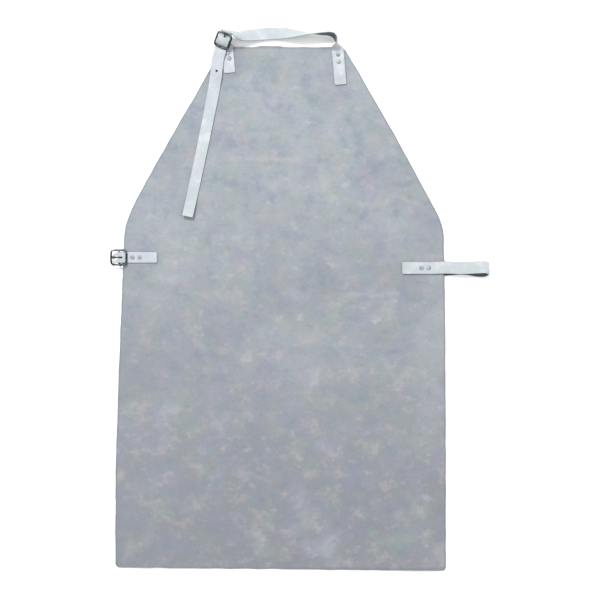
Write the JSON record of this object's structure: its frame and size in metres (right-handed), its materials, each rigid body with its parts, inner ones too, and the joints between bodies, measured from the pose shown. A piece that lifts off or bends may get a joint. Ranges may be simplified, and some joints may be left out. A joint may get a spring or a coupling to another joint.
{
  "type": "welding apron",
  "caption": "Bib-style leather welding apron laid out flat, with a buckled neck strap, a waist strap and a waist buckle on riveted tabs.",
  "frame": {"origin": "middle of the apron's back, on the surface it is laid on", "axes": "+Z out of the apron's front, +Y from the hem towards the bib, +X to the right when looking at the front"},
  "size_m": [0.6894, 0.986, 0.0335],
  "materials": {
    "suede": "split suede, matt, mottled grey",
    "strap_leather": "plain pale grey strap leather, smooth matt",
    "nickel_steel": "dull nickel plate"
  },
  "bodies": {
    "apron": {"apron_body": "suede", "waist_tab": "strap_leather", "waist_strap": "strap_leather", "neck_tab": "strap_leather", "neck_buckle_frame": "nickel_steel", "neck_buckle_prong": "nickel_steel", "neck_strap_end": "strap_leather", "neck_strap_buckled": "strap_leather", "waist_tab_rivet_stud_1": "nickel_steel", "waist_tab_rivet_cap_1": "nickel_steel", "waist_tab_rivet_stud_2": "nickel_steel", "waist_tab_rivet_cap_2": "nickel_steel", "waist_strap_rivet_stud_1": "nickel_steel", "waist_strap_rivet_cap_1": "nickel_steel", "waist_strap_rivet_stud_2": "nickel_steel", "waist_strap_rivet_cap_2": "nickel_steel", "neck_tab_rivet_stud_1": "nickel_steel", "neck_tab_rivet_cap_1": "nickel_steel", "neck_tab_rivet_stud_2": "nickel_steel", "neck_tab_rivet_cap_2": "nickel_steel", "neck_strap_rivet_stud_1": "nickel_steel", "neck_strap_rivet_cap_1": "nickel_steel", "neck_strap_rivet_stud_2": "nickel_steel", "neck_strap_rivet_cap_2": "nickel_steel"},
    "neck_loop": {"neck_strap_loop": "strap_leather"},
    "neck_tail": {"neck_strap_tail": "strap_leather"},
    "waist_strap_end": {"waist_strap_end": "strap_leather"},
    "waist_buckle": {"waist_buckle_frame": "nickel_steel"},
    "waist_prong": {"waist_buckle_prong": "nickel_steel"}
  },
  "joints": [
    {"name": "neck_loop_lift", "type": "hinge", "parent": "apron", "child": "neck_loop", "pos_m": [0.104, 0.47, 0.0081], "axis": [0.9898, -0.14, -0.0247], "range_deg": [0, 90]},
    {"name": "neck_tail_lift", "type": "hinge", "parent": "apron", "child": "neck_tail", "pos_m": [-0.117, 0.4234, 0.0078], "axis": [-0.995, 0.0995, 0], "range_deg": [0, 110]},
    {"name": "waist_strap_unfold", "type": "hinge", "parent": "apron", "child": "waist_strap_end", "pos_m": [0.3734, 0.068, 0], "axis": [0, -1, 0], "range_deg": [0, 175]},
    {"name": "waist_buckle_swing", "type": "hinge", "parent": "apron", "child": "waist_buckle", "pos_m": [-0.2938, 0.092, 0.0042], "axis": [0, -1, 0], "range_deg": [0, 150]},
    {"name": "waist_prong_lift", "type": "hinge", "parent": "waist_buckle", "child": "waist_prong", "pos_m": [-0.2938, 0.092, 0.0042], "axis": [0, 1, 0], "range_deg": [0, 110]}
  ]
}
